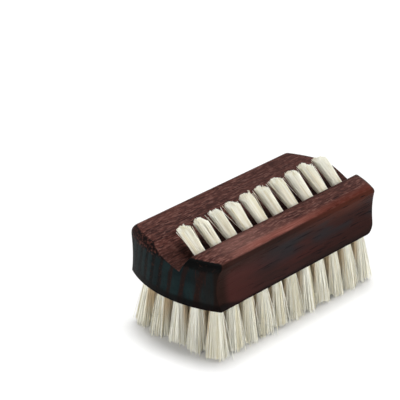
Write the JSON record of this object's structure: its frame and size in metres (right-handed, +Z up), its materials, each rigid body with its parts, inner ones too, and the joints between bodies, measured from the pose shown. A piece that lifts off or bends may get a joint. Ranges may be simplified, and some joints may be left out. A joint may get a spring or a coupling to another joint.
{
  "type": "nail brush",
  "caption": "Two-sided wooden nail brush: a bow-ended block with straight bristle tufts underneath and a row of short tufts leaning out of a lopsided groove along the top.",
  "frame": {"origin": "on the table, under the middle of the brush, which stands on the tips of its bottom tufts", "axes": "+X runs along the block, +Y across it towards the gentle slope of the groove, +Z up, away from the table"},
  "size_m": [0.065, 0.031, 0.0309],
  "materials": {
    "wood": "dark heat-treated wood, oiled, satin",
    "bristle": "cream natural bristle, cut straight",
    "anchor": "bright flat wire, hidden in the holes"
  },
  "bodies": {
    "root": {"wooden_block": "wood", "top_tuft_01": "bristle", "top_tuft_02": "bristle", "top_tuft_03": "bristle", "top_tuft_04": "bristle", "top_tuft_05": "bristle", "top_tuft_06": "bristle", "top_tuft_07": "bristle", "top_tuft_08": "bristle", "top_tuft_09": "bristle", "top_tuft_10": "bristle", "front_tuft_01": "bristle", "front_tuft_02": "bristle", "front_tuft_03": "bristle", "front_tuft_04": "bristle", "front_tuft_05": "bristle", "front_tuft_06": "bristle", "front_tuft_07": "bristle", "front_tuft_08": "bristle", "front_tuft_09": "bristle", "front_tuft_10": "bristle", "front_tuft_11": "bristle", "back_tuft_01": "bristle", "back_tuft_02": "bristle", "back_tuft_03": "bristle", "back_tuft_04": "bristle", "back_tuft_05": "bristle", "back_tuft_06": "bristle", "back_tuft_07": "bristle", "back_tuft_08": "bristle", "back_tuft_09": "bristle", "back_tuft_10": "bristle", "back_tuft_11": "bristle", "left_end_tuft_1": "bristle", "left_end_tuft_2": "bristle", "left_end_tuft_3": "bristle", "right_end_tuft_1": "bristle", "right_end_tuft_2": "bristle", "right_end_tuft_3": "bristle", "inner_tufts_row_2": "bristle", "inner_tufts_row_3": "bristle", "inner_tufts_row_4": "bristle", "bottom_anchors_row_1": "anchor", "bottom_anchors_row_2": "anchor", "bottom_anchors_row_3": "anchor", "bottom_anchors_row_4": "anchor", "bottom_anchors_row_5": "anchor", "top_anchors": "anchor"}
  },
  "joints": []
}
